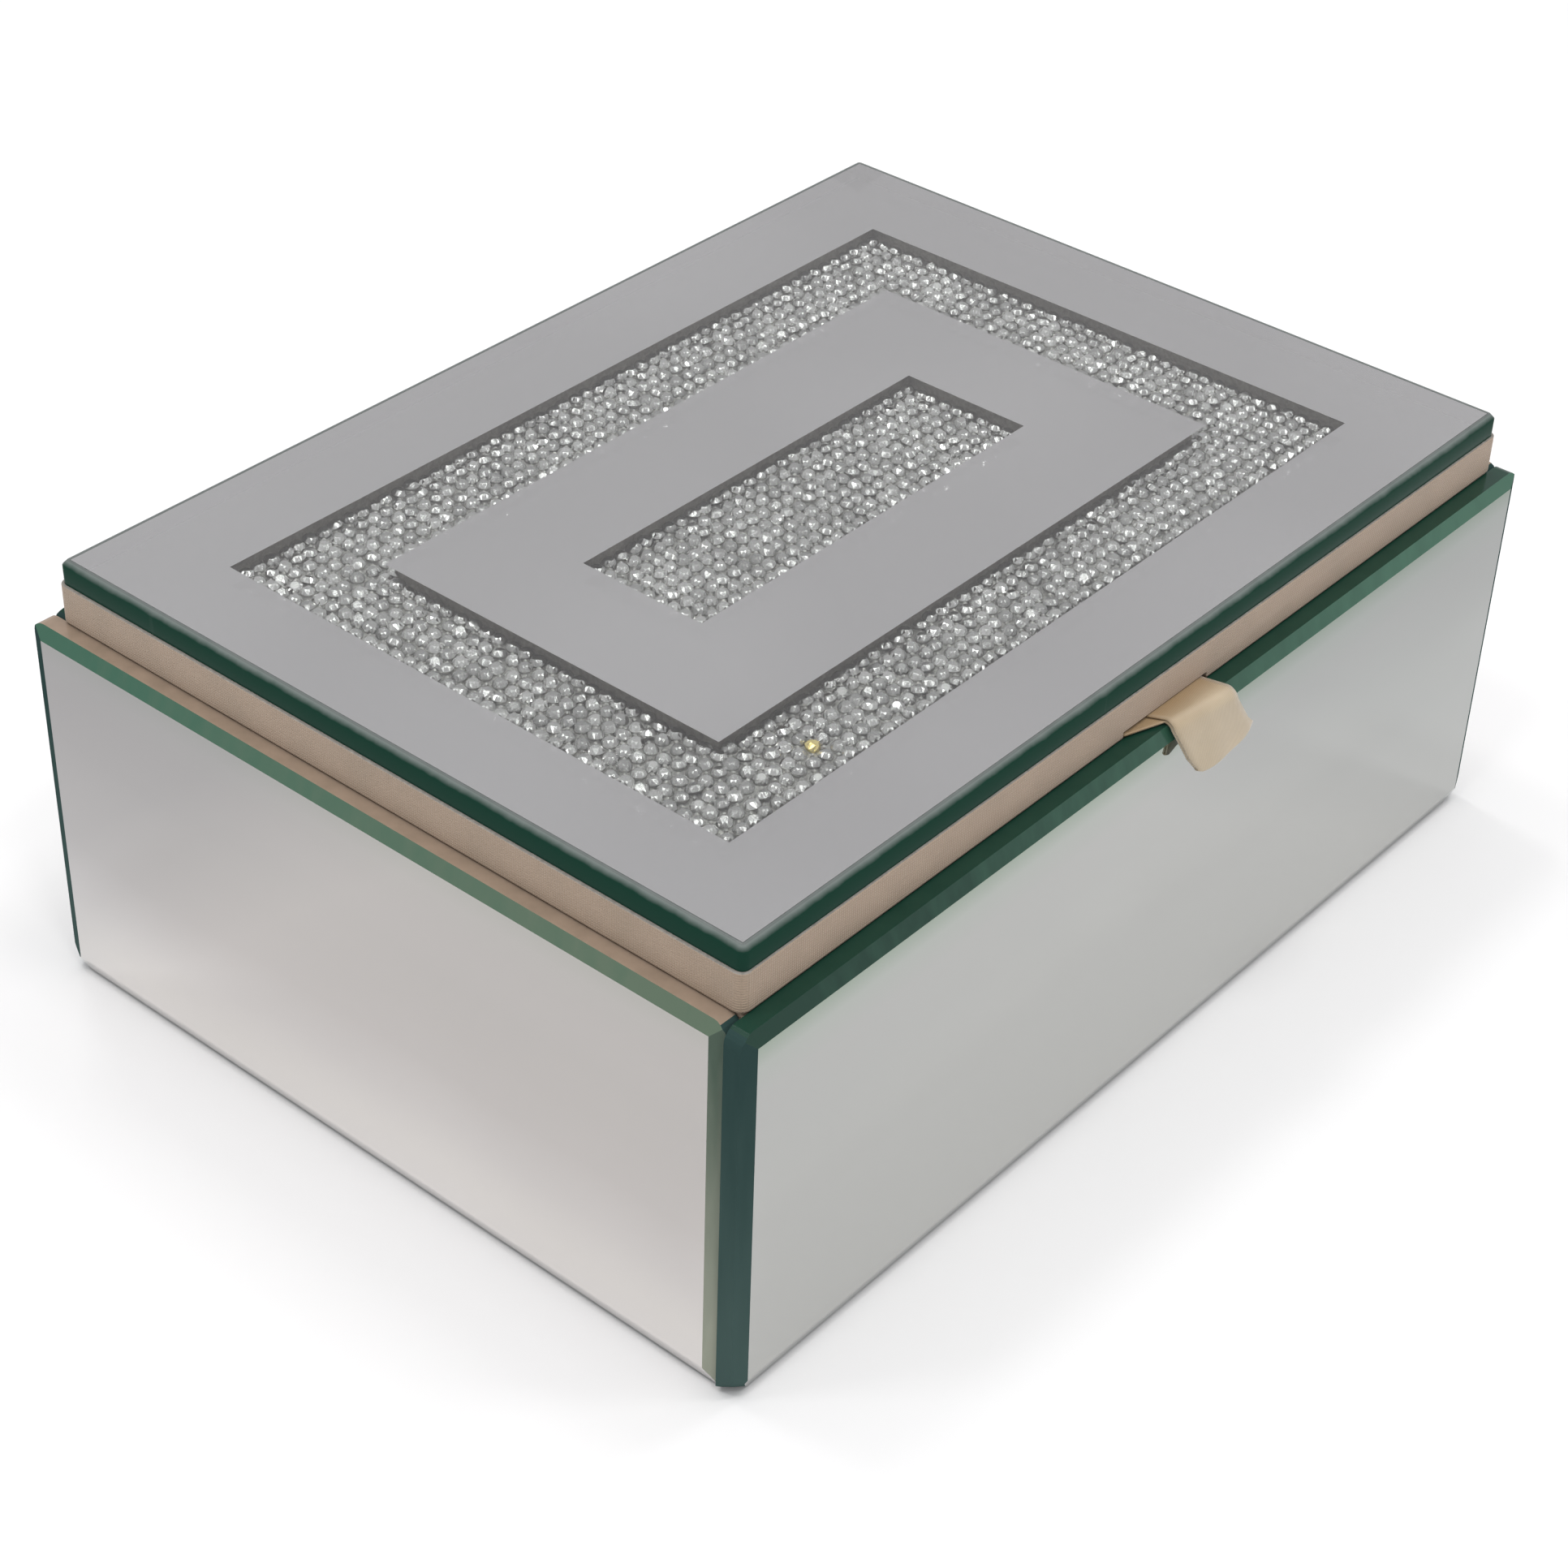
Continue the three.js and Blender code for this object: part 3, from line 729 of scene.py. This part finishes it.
def stone_shape():
    """(points, faces) of one cut stone of unit radius and height: table, star, kites, girdle."""
    rings = [  # (radius, height, number of points, turn in steps)
        (0.50, 1.0, 8, 0.0),
        (0.78, 0.80, 8, 0.5),
        (1.0, 0.34, 16, 0.0),
        (0.93, 0.0, 16, 0.0),
    ]
    points, starts = [], []
    for radius, height, count, turn in rings:
        starts.append(len(points))
        for i in range(count):
            angle = 2 * math.pi * (i + turn) / count
            points.append((radius * math.cos(angle), radius * math.sin(angle), height))
    table, mid, girdle, base = starts
    faces = [tuple(range(table, table + 8))]
    for i in range(8):
        after = (i + 1) % 8
        before = (i - 1) % 8
        faces.append((table + i, mid + i, table + after))
        faces.append((table + i, mid + before, girdle + 2 * i, mid + i))
        corner = girdle + (2 * i + 1) % 16
        faces.append((mid + i, girdle + 2 * i, corner))
        faces.append((mid + i, corner, girdle + (2 * i + 2) % 16))
    for i in range(16):
        after = (i + 1) % 16
        faces.append((girdle + i, base + i, base + after, girdle + after))
    faces.append(tuple(range(base + 15, base - 1, -1)))
    return points, faces


def grid_places(length, width, hole_length=0.0, hole_width=0.0):
    """Centres of the stones in a rectangle with a rectangular hole."""
    columns, rows = (round(side / (PITCH_MM * MM)) for side in (length, width))
    pitch_x, pitch_y = length / columns, width / rows
    slack = 0.2 * PITCH_MM * MM
    for i in range(columns):
        for j in range(rows):
            x = (i - (columns - 1) / 2) * pitch_x
            y = (j - (rows - 1) / 2) * pitch_y
            clear_x = abs(x) - pitch_x / 2 > hole_length / 2 - slack
            clear_y = abs(y) - pitch_y / 2 > hole_width / 2 - slack
            if clear_x or clear_y or not hole_length:
                yield x, y


def crystals(node, places, seed, yellow_glint=None):
    low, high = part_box(node)
    rng = random.Random(seed)
    points, faces = stone_shape()
    bm = bmesh.new()
    tint_layer = bm.faces.layers.float.new("tint")
    floor = low.z + SETTING_MM * MM
    height = high.z - floor - STONE_SLACK_MM * MM
    for x, y in places:
        tilt_x = Matrix.Rotation(rng.gauss(0, STONE_TILT), 3, "X")
        tilt = tilt_x @ Matrix.Rotation(rng.gauss(0, STONE_TILT), 3, "Y")
        turn = tilt @ Matrix.Rotation(rng.uniform(0, math.pi / 4), 3, "Z")
        radius = STONE_RADIUS_MM * MM * rng.uniform(0.9, 1.08)
        moved_x = x + rng.gauss(0, STONE_WANDER_MM) * MM
        moved_y = y + rng.gauss(0, STONE_WANDER_MM) * MM
        middle = Vector((moved_x, moved_y, floor))
        shaped = [Vector((px * radius, py * radius, pz * height)) for px, py, pz in points]
        verts = [bm.verts.new(middle + turn @ point) for point in shaped]
        tint = rng.random()
        near_yellow_glint = yellow_glint and max(abs(x - yellow_glint[0]), abs(y - yellow_glint[1])) < YELLOW_GLINT_REACH_MM * MM
        for corners in faces:
            face = bm.faces.new([verts[i] for i in corners])
            face[tint_layer] = tint
            face.material_index = 1 if near_yellow_glint else 0
    bmesh.ops.recalc_face_normals(bm, faces=bm.faces)
    add_piece(f"{node}_stones", bm, [stone, yellow_glint_stone], "lid", [node], 0)


def backing(node, hole=None):
    """The sheet that the stones are set in, with a bead between each four."""
    low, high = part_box(node)
    bm = bmesh.new()
    size = (high - low)[:2]
    top_z = low.z + SETTING_MM * MM
    outer = [rectangle(bm, *size, z) for z in (low.z, top_z)]
    join_rings(bm, *outer)
    if hole:
        inner = [rectangle(bm, *hole, z) for z in (low.z, top_z)]
        join_rings(bm, inner[1], inner[0])
        join_rings(bm, inner[0], outer[0])
        join_rings(bm, outer[1], inner[1])
    else:
        bm.faces.new(outer[0][::-1])
        bm.faces.new(outer[1])
    bead_radius = BEAD_RADIUS_MM * MM
    reach = [side / 2 + bead_radius for side in hole or (0, 0)]
    columns, rows = (round(side / (PITCH_MM * MM)) for side in size)
    for i in range(1, columns):
        for j in range(1, rows):
            x = (i / columns - 0.5) * size[0]
            y = (j / rows - 0.5) * size[1]
            if abs(x) < reach[0] and abs(y) < reach[1]:
                continue
            place = Matrix.Translation((x, y, top_z + BEAD_RISE_MM * MM))
            bmesh.ops.create_icosphere(bm, subdivisions=1, radius=bead_radius, matrix=place)
    bmesh.ops.recalc_face_normals(bm, faces=bm.faces)
    add_piece(f"{node}_backing", bm, [stone_backing], "lid", [node], 40)


def crystal_sheets():
    ring_low, ring_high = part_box("crystal_ring")
    bar_low, bar_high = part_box("crystal_bar")
    size = (ring_high - ring_low)[:2]
    under = (BAND_MM + 2 * WINDOW_MARGIN_MM) * MM
    hole = [side - 2 * under for side in size]
    yellow_glint = [value * MM for value in YELLOW_GLINT_MM]
    crystals("crystal_ring", grid_places(*size, *hole), 3, yellow_glint)
    crystals("crystal_bar", grid_places(*(bar_high - bar_low)[:2]), 5)
    backing("crystal_ring", hole)
    backing("crystal_bar")


# Ribbon tab: one loop, its two legs spread where they leave the lid board


def lerp(a, b, share):
    return a + (b - a) * share


def ribbon_rows():
    """The loop's left and right points, row by row, from one end under the board to the other."""
    low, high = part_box("ribbon_tab")
    board_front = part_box("lid_board")[0].y
    half = RIBBON_THICKNESS_MM * MM / 2
    bend = RIBBON_BEND_MM * MM
    tilt = math.radians(RIBBON_TILT)
    hang = RIBBON_HANG_MM * MM
    fold_y = board_front - RIBBON_REACH_MM * MM + bend
    rise = RIBBON_RISE_MM * MM
    skew = RIBBON_SKEW_MM * MM
    right_end = high.x
    left_end = right_end - RIBBON_END_MM * MM
    fold_sides = (left_end - 3.6 * MM, right_end - 4.0 * MM)

    def leg(depth, root_sides):
        """One leg: depth is how far it lies under the CAD solid's outer face."""
        rows = []
        z = high.z - depth
        for i in range(9):
            share = i / 8
            y = lerp(high.y - 1 * MM, board_front, share)
            rows.append((root_sides, y, z, 0))
        for i in range(1, 6):
            share = i / 5
            sides = [lerp(a, b, share) for a, b in zip(root_sides, fold_sides)]
            rows.append((sides, lerp(board_front, fold_y, share), z, 0))
        radius = bend - depth
        centre_z = high.z - bend
        for i in range(1, 9):
            angle = math.pi / 2 + (math.pi / 2 - tilt) * i / 8
            y = fold_y + radius * math.cos(angle)
            rows.append((fold_sides, y, centre_z + radius * math.sin(angle), 0))
        last_y, last_z = rows[-1][1:3]
        for i in range(1, 13):
            share = i / 12
            sides = [lerp(a, b, share) for a, b in zip(fold_sides, (left_end, right_end))]
            y = last_y - hang * share * math.sin(tilt)
            rows.append((sides, y, last_z - hang * share * math.cos(tilt), share))
        return rows

    upper = leg(half, (high.x - 19.5 * MM, high.x - 5.0 * MM))
    lower = leg(RIBBON_STACK_MM * MM - half, (low.x, low.x + RIBBON_WIDTH_MM * MM))
    turn = []
    start, stop = upper[-1], lower[-1]
    middle = Vector((0, (start[1] + stop[1]) / 2, (start[2] + stop[2]) / 2))
    arm = Vector((0, start[1], start[2])) - middle
    down = Vector((0, -math.sin(tilt), -math.cos(tilt)))
    for i in range(1, 6):
        angle = math.pi * i / 6
        point = middle + arm * math.cos(angle) + down * arm.length * math.sin(angle)
        turn.append(((left_end, right_end), point.y, point.z, 1))
    rows = []
    for (left, right), y, z, share in upper + turn + lower[::-1]:
        lift = rise * share
        out = skew * min(1.0, max(0.0, (board_front - y) / (board_front - fold_y)))
        out *= 1 - 0.75 * share
        ends = (
            Vector((left, y, z)),
            Vector((right, y - out + lift * math.tan(tilt), z + lift)),
        )
        rows.append(ends)
    return rows


def ribbon_tab():
    rows = ribbon_rows()
    columns = 12
    bm = bmesh.new()
    grid = []
    hang = rows[0][0].z - min(left.z for left, right in rows)
    for left, right in rows:
        drop = (rows[0][0].z - left.z) / hang
        line = []
        for i in range(columns + 1):
            share = i / columns
            crown = 0.7 * MM * math.sin(math.pi * share) * drop
            crease = 0.12 * MM * math.sin(11 * share + 5 * drop) * drop
            corner = 1.1 * MM * (2 * share - 1) ** 8 * max(0.0, drop - 0.7) / 0.3
            point = left.lerp(right, share)
            line.append(bm.verts.new(point + Vector((0, -crown - crease, corner))))
        grid.append(line)
    for before, after in zip(grid, grid[1:]):
        for i in range(columns):
            bm.faces.new((before[i], before[i + 1], after[i + 1], after[i]))
    bmesh.ops.recalc_face_normals(bm, faces=bm.faces)
    tab = add_piece("satin_tab", bm, [satin], "lid", ["ribbon_tab"], 60)
    thickness = tab.modifiers.new("thickness", "SOLIDIFY")
    thickness.thickness = RIBBON_THICKNESS_MM * MM
    thickness.offset = 0


# Soft pieces, simulated at ten times their size, where the cloth settings behave


def settled(bm, cap_mm, pressure=4.0, frames=20):
    """The mesh blown up by cloth simulation, each point moving at most cap_mm."""
    mesh = bpy.data.meshes.new("soft_start")
    bm.to_mesh(mesh)
    bm.free()
    start = [v.co.copy() for v in mesh.vertices]
    mesh.transform(Matrix.Scale(CLOTH_SCALE, 4))
    puppet = bpy.data.objects.new("soft_start", mesh)
    bpy.context.scene.collection.objects.link(puppet)
    cloth_sim = puppet.modifiers.new("cloth", "CLOTH")
    settings = cloth_sim.settings
    settings.use_pressure = True
    settings.uniform_pressure_force = pressure
    settings.effector_weights.gravity = 0
    settings.quality = 4
    cloth_sim.point_cache.frame_start = 1
    cloth_sim.point_cache.frame_end = frames
    scene = bpy.context.scene
    for number in range(1, frames + 1):
        scene.frame_set(number)
    moved = puppet.evaluated_get(bpy.context.evaluated_depsgraph_get()).data
    cap = cap_mm * MM
    ends = []
    for before, vertex in zip(start, moved.vertices):
        step = vertex.co / CLOTH_SCALE - before
        ends.append(before + step * min(1.0, cap / max(step.length, 1e-9)))
    bpy.data.objects.remove(puppet)
    scene.frame_set(1)
    result = bmesh.new()
    mesh.transform(Matrix.Scale(1 / CLOTH_SCALE, 4))
    result.from_mesh(mesh)
    for vertex, end in zip(result.verts, ends):
        vertex.co = end
    return result


def roll_start(low, high, shrink):
    """A D-shaped roll along X with rounded shoulders, as a closed grid of quads."""
    half = (high.y - low.y) / 2 - shrink
    middle_y = (high.y + low.y) / 2
    foot, crown = low.z + shrink, high.z - shrink
    radius = half
    section = []
    for i in range(7):
        section.append((lerp(-half, half, i / 6) * 0.94, foot))
    side_top = crown - radius
    for i in range(1, 6):
        section.append((half, lerp(foot, side_top, i / 6)))
    for i in range(13):
        angle = math.pi * i / 12
        section.append((half * math.cos(angle), side_top + radius * math.sin(angle)))
    for i in range(5, 0, -1):
        section.append((-half, lerp(foot, side_top, i / 6)))
    bm = bmesh.new()
    length = high.x - low.x - 2 * shrink
    stations = 34
    rings = []
    for k in range(stations + 1):
        along = k / stations
        end = min(along, 1 - along) * length
        pull = 1 - 0.12 * max(0, 1 - end / (4 * MM)) ** 2
        x = low.x + shrink + along * length
        centre_z = (foot + crown) / 2
        rings.append(
            [
                bm.verts.new((x, middle_y + y * pull, centre_z + (z - centre_z) * pull))
                for y, z in section
            ]
        )
    for before, after in zip(rings, rings[1:]):
        join_rings(bm, before, after)
    for end in (rings[0], rings[-1]):
        centre = sum((v.co for v in end), Vector()) / len(end)
        ring = end
        for share in (0.66, 0.33):
            inner = [bm.verts.new(centre.lerp(v.co, share)) for v in end]
            join_rings(bm, ring, inner)
            ring = inner
        bm.faces.new(ring)
    bmesh.ops.recalc_face_normals(bm, faces=bm.faces)
    return bm


def ring_rolls():
    first_low, first_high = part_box("ring_roll_1")
    start = roll_start(first_low, first_high, ROLL_SHRINK_MM * MM)
    plump = settled(start, ROLL_CAP_MM)
    for number in range(1, 6):
        node = f"ring_roll_{number}"
        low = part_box(node)[0]
        bm = plump.copy()
        shift = low - first_low
        rng = random.Random(number)
        wander = [rng.uniform(0, 6.28) for _ in range(3)]
        for vertex in bm.verts:
            slow = math.sin(vertex.co.x * 90 + wander[0])
            wave = slow + math.sin(vertex.co.x * 210 + wander[1])
            high_up = max(0.0, (vertex.co.z - low.z) / (first_high.z - low.z))
            vertex.co.z += 0.12 * MM * wave * high_up - 0.1 * MM * high_up
            vertex.co += shift
        roll = add_piece(
            f"padded_roll_{number}", bm, [pad_velvet], "body", [node], 180
        )
        smooth = roll.modifiers.new("fine", "SUBSURF")
        smooth.levels = smooth.render_levels = 1
    plump.free()


def pad_start(low, high, shrink):
    """A flat closed pad with rounded corners, as quads."""
    length = high.x - low.x - 2 * shrink
    width = high.y - low.y - 2 * shrink
    columns, rows = 44, 30
    bm = bmesh.new()
    layers = []
    corner = PAD_CORNER_MM * MM
    for z in (low.z + shrink, high.z - shrink / 2):
        grid = []
        for i in range(columns + 1):
            line = []
            for j in range(rows + 1):
                x = (i / columns - 0.5) * length
                y = (j / rows - 0.5) * width
                inner_x, inner_y = length / 2 - corner, width / 2 - corner
                past = Vector((max(0, abs(x) - inner_x), max(0, abs(y) - inner_y)))
                if past.length > 0:
                    reach = max(past.x, past.y)
                    past = past.normalized() * reach
                    x = math.copysign(min(abs(x), inner_x) + past.x, x)
                    y = math.copysign(min(abs(y), inner_y) + past.y, y)
                line.append(bm.verts.new((x, y, z)))
            grid.append(line)
        for before, after in zip(grid, grid[1:]):
            for j in range(rows):
                bm.faces.new((before[j], after[j], after[j + 1], before[j + 1]))
        rim = [line[0] for line in grid] + grid[-1][1:]
        rim += [line[-1] for line in grid[-2::-1]] + grid[0][-2:0:-1]
        layers.append(rim)
    join_rings(bm, *layers)
    bmesh.ops.recalc_face_normals(bm, faces=bm.faces)
    return bm


def lid_pad():
    low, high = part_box("lid_pad")
    bm = pad_start(low, high, PAD_SHRINK_MM * MM)
    bm = settled(bm, PAD_CAP_MM)
    for vertex in bm.verts:
        vertex.co.z = min(vertex.co.z, high.z)
    pad = add_piece("velvet_lid_pad", bm, [pad_velvet], "lid", ["lid_pad"], 180)
    smooth = pad.modifiers.new("fine", "SUBSURF")
    smooth.levels = smooth.render_levels = 1


# CAD nodes that keep their shape


def dress_nodes():
    walls = [f"{side}_wall" for side in ("front", "back", "left", "right")]
    liners = [f"{side}_liner" for side in ("front", "back", "left", "right", "floor")]
    parts = ("body_leaf", "lid_leaf", "pin")
    hinges = [f"hinge_{side}_{part}" for side in ("left", "right") for part in parts]
    screws = [f"{body}_screw_{i}" for body in ("body", "lid") for i in range(1, 5)]
    dress(walls, cloth, WALL_EDGE_MM)
    dress(liners + ["cross_divider", "tray_divider"], velvet, LINER_EDGE_MM)
    dress(hinges, brass, HINGE_EDGE_MM)
    dress(screws, brass, SCREW_EDGE_MM)
    dress(["base_felt"], felt, FELT_EDGE_MM)
    dress(["base_panel"], fibreboard, BASE_EDGE_MM)


# Stage, light and camera


def stage():
    bm = bmesh.new()
    bmesh.ops.create_circle(bm, cap_ends=True, segments=64, radius=4)
    mesh = bpy.data.meshes.new("floor")
    bm.to_mesh(mesh)
    bm.free()
    floor = bpy.data.objects.new("floor", mesh)
    bpy.context.scene.collection.objects.link(floor)
    look = Look("floor", Roughness=0.9, Specular_IOR_Level=0.1)
    stops = [(0.3, (0.83, 0.83, 0.83, 1)), (0.7, (0.85, 0.85, 0.85, 1))]
    look.colour(look.ramp(look.noise(300, 1), stops))
    mesh.materials.append(look.material)


def sky():
    world = bpy.data.worlds.new("studio")
    bpy.context.scene.world = world
    world.use_nodes = True
    tree = world.node_tree
    place = tree.nodes.new("ShaderNodeTexCoord")
    parts = tree.nodes.new("ShaderNodeSeparateXYZ")
    ramp = tree.nodes.new("ShaderNodeValToRGB")
    tree.links.new(place.outputs["Generated"], parts.inputs[0])
    tree.links.new(parts.outputs["Z"], ramp.inputs["Fac"])
    tree.links.new(ramp.outputs["Color"], tree.nodes["Background"].inputs["Color"])
    stops = [
        (0.0, (0.70, 0.70, 0.70, 1)),
        (0.25, (0.62, 0.62, 0.63, 1)),
        (0.42, (0.50, 0.49, 0.50, 1)),
        (0.77, (0.50, 0.49, 0.50, 1)),
        (0.92, (0.92, 0.92, 0.92, 1)),
    ]
    elements = ramp.color_ramp.elements
    while len(elements) < len(stops):
        elements.new(0.5)
    for element, (position, colour) in zip(elements, stops):
        element.position = position
        element.color = colour
    tree.nodes["Background"].inputs["Strength"].default_value = 1.25


def lamp(name, azimuth, elevation):
    """A square softbox aimed at the box, placed by the direction it's seen in from there."""
    data = bpy.data.lights.new(name, "AREA")
    data.shape = "SQUARE"
    data.size = SOFTBOX_SIZE
    data.energy = SOFTBOX_POWER
    light = bpy.data.objects.new(name, data)
    bpy.context.scene.collection.objects.link(light)
    a, e = math.radians(azimuth), math.radians(elevation)
    away = Vector((math.sin(a) * math.cos(e), math.cos(a) * math.cos(e), math.sin(e)))
    light.location = away * SOFTBOX_DISTANCE
    light.rotation_mode = "QUATERNION"
    light.rotation_quaternion = (-away).to_track_quat("-Z", "Y")


def lights():
    for i, (azimuth, elevation) in enumerate(SOFTBOXES):
        lamp(f"softbox_{i + 1}", azimuth, elevation)


def camera():
    middle = (cad_box[0] + cad_box[1]) / 2
    a, e = math.radians(CAMERA_AZIMUTH), math.radians(CAMERA_ELEVATION)
    back = Vector((-math.sin(a) * math.cos(e), -math.cos(a) * math.cos(e), math.sin(e)))
    data = bpy.data.cameras.new("camera")
    data.lens = CAMERA_LENS_MM
    data.sensor_width = SENSOR_MM
    data.clip_start = 0.01
    seen = bpy.data.objects.new("camera", data)
    bpy.context.scene.collection.objects.link(seen)
    seen.location = middle + CAMERA_AIM + back * CAMERA_DISTANCE
    level = (-back).to_track_quat("-Z", "Y")
    roll = Quaternion((0, 0, 1), math.radians(CAMERA_ROLL))
    seen.rotation_mode = "QUATERNION"
    seen.rotation_quaternion = level @ roll
    bpy.context.scene.camera = seen
    bpy.context.scene.view_settings.view_transform = "Standard"


camera()
sky()
lights()
stage()
panels()
lid_glass()
lid_glass_edge()
lid_board()
crystal_sheets()
ribbon_tab()
ring_rolls()
lid_pad()
dress_nodes()
